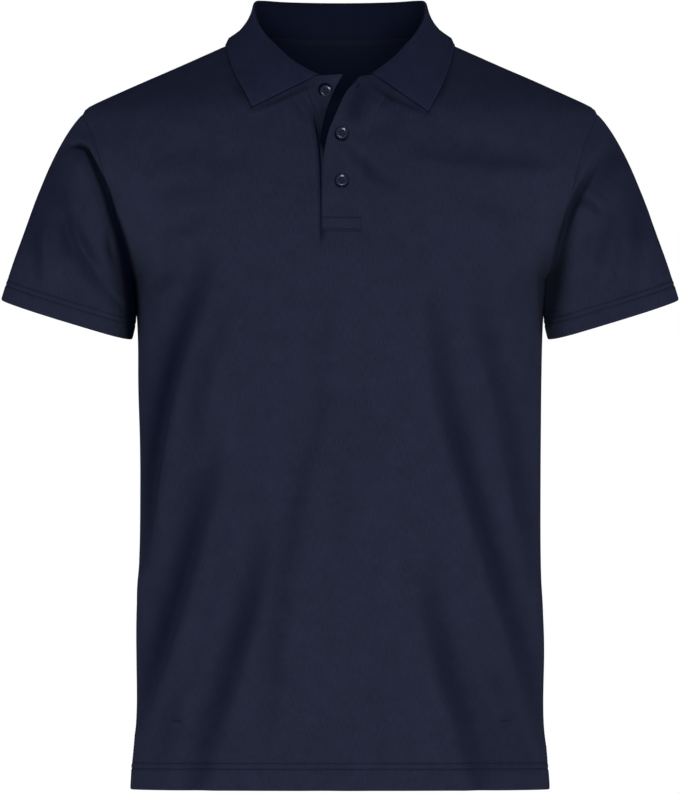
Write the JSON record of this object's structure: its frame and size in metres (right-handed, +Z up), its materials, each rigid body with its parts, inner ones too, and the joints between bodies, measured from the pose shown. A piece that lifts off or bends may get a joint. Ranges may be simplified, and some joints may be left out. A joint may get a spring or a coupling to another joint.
{
  "type": "polo shirt",
  "caption": "Short-sleeved knitted polo shirt, filled out as worn, with a turned-down collar, a buttoned placket open at the neck, set-in sleeves and side vents.",
  "frame": {"origin": "middle of the neck opening, level with the points where the shoulder seams meet the collar, where the wearer's neck and shoulders hold the shirt", "axes": "+Z up, out of the neck; the front faces -Y; +X is the wearer's left"},
  "size_m": [0.6498, 0.2387, 0.7621],
  "materials": {
    "jersey": "smooth matt cotton jersey, navy",
    "collar_knit": "flat-knitted fine rib, navy",
    "neck_tape": "matt cotton tape, navy",
    "button": "polished resin, dark navy"
  },
  "bodies": {
    "root": {"front": "jersey", "back": "jersey", "sleeve_left": "jersey", "sleeve_right": "jersey", "placket_upper": "jersey", "placket_under": "jersey", "collar": "collar_knit", "neck_tape": "neck_tape", "button_top": "button", "button_middle": "button", "button_bottom": "button"}
  },
  "joints": []
}
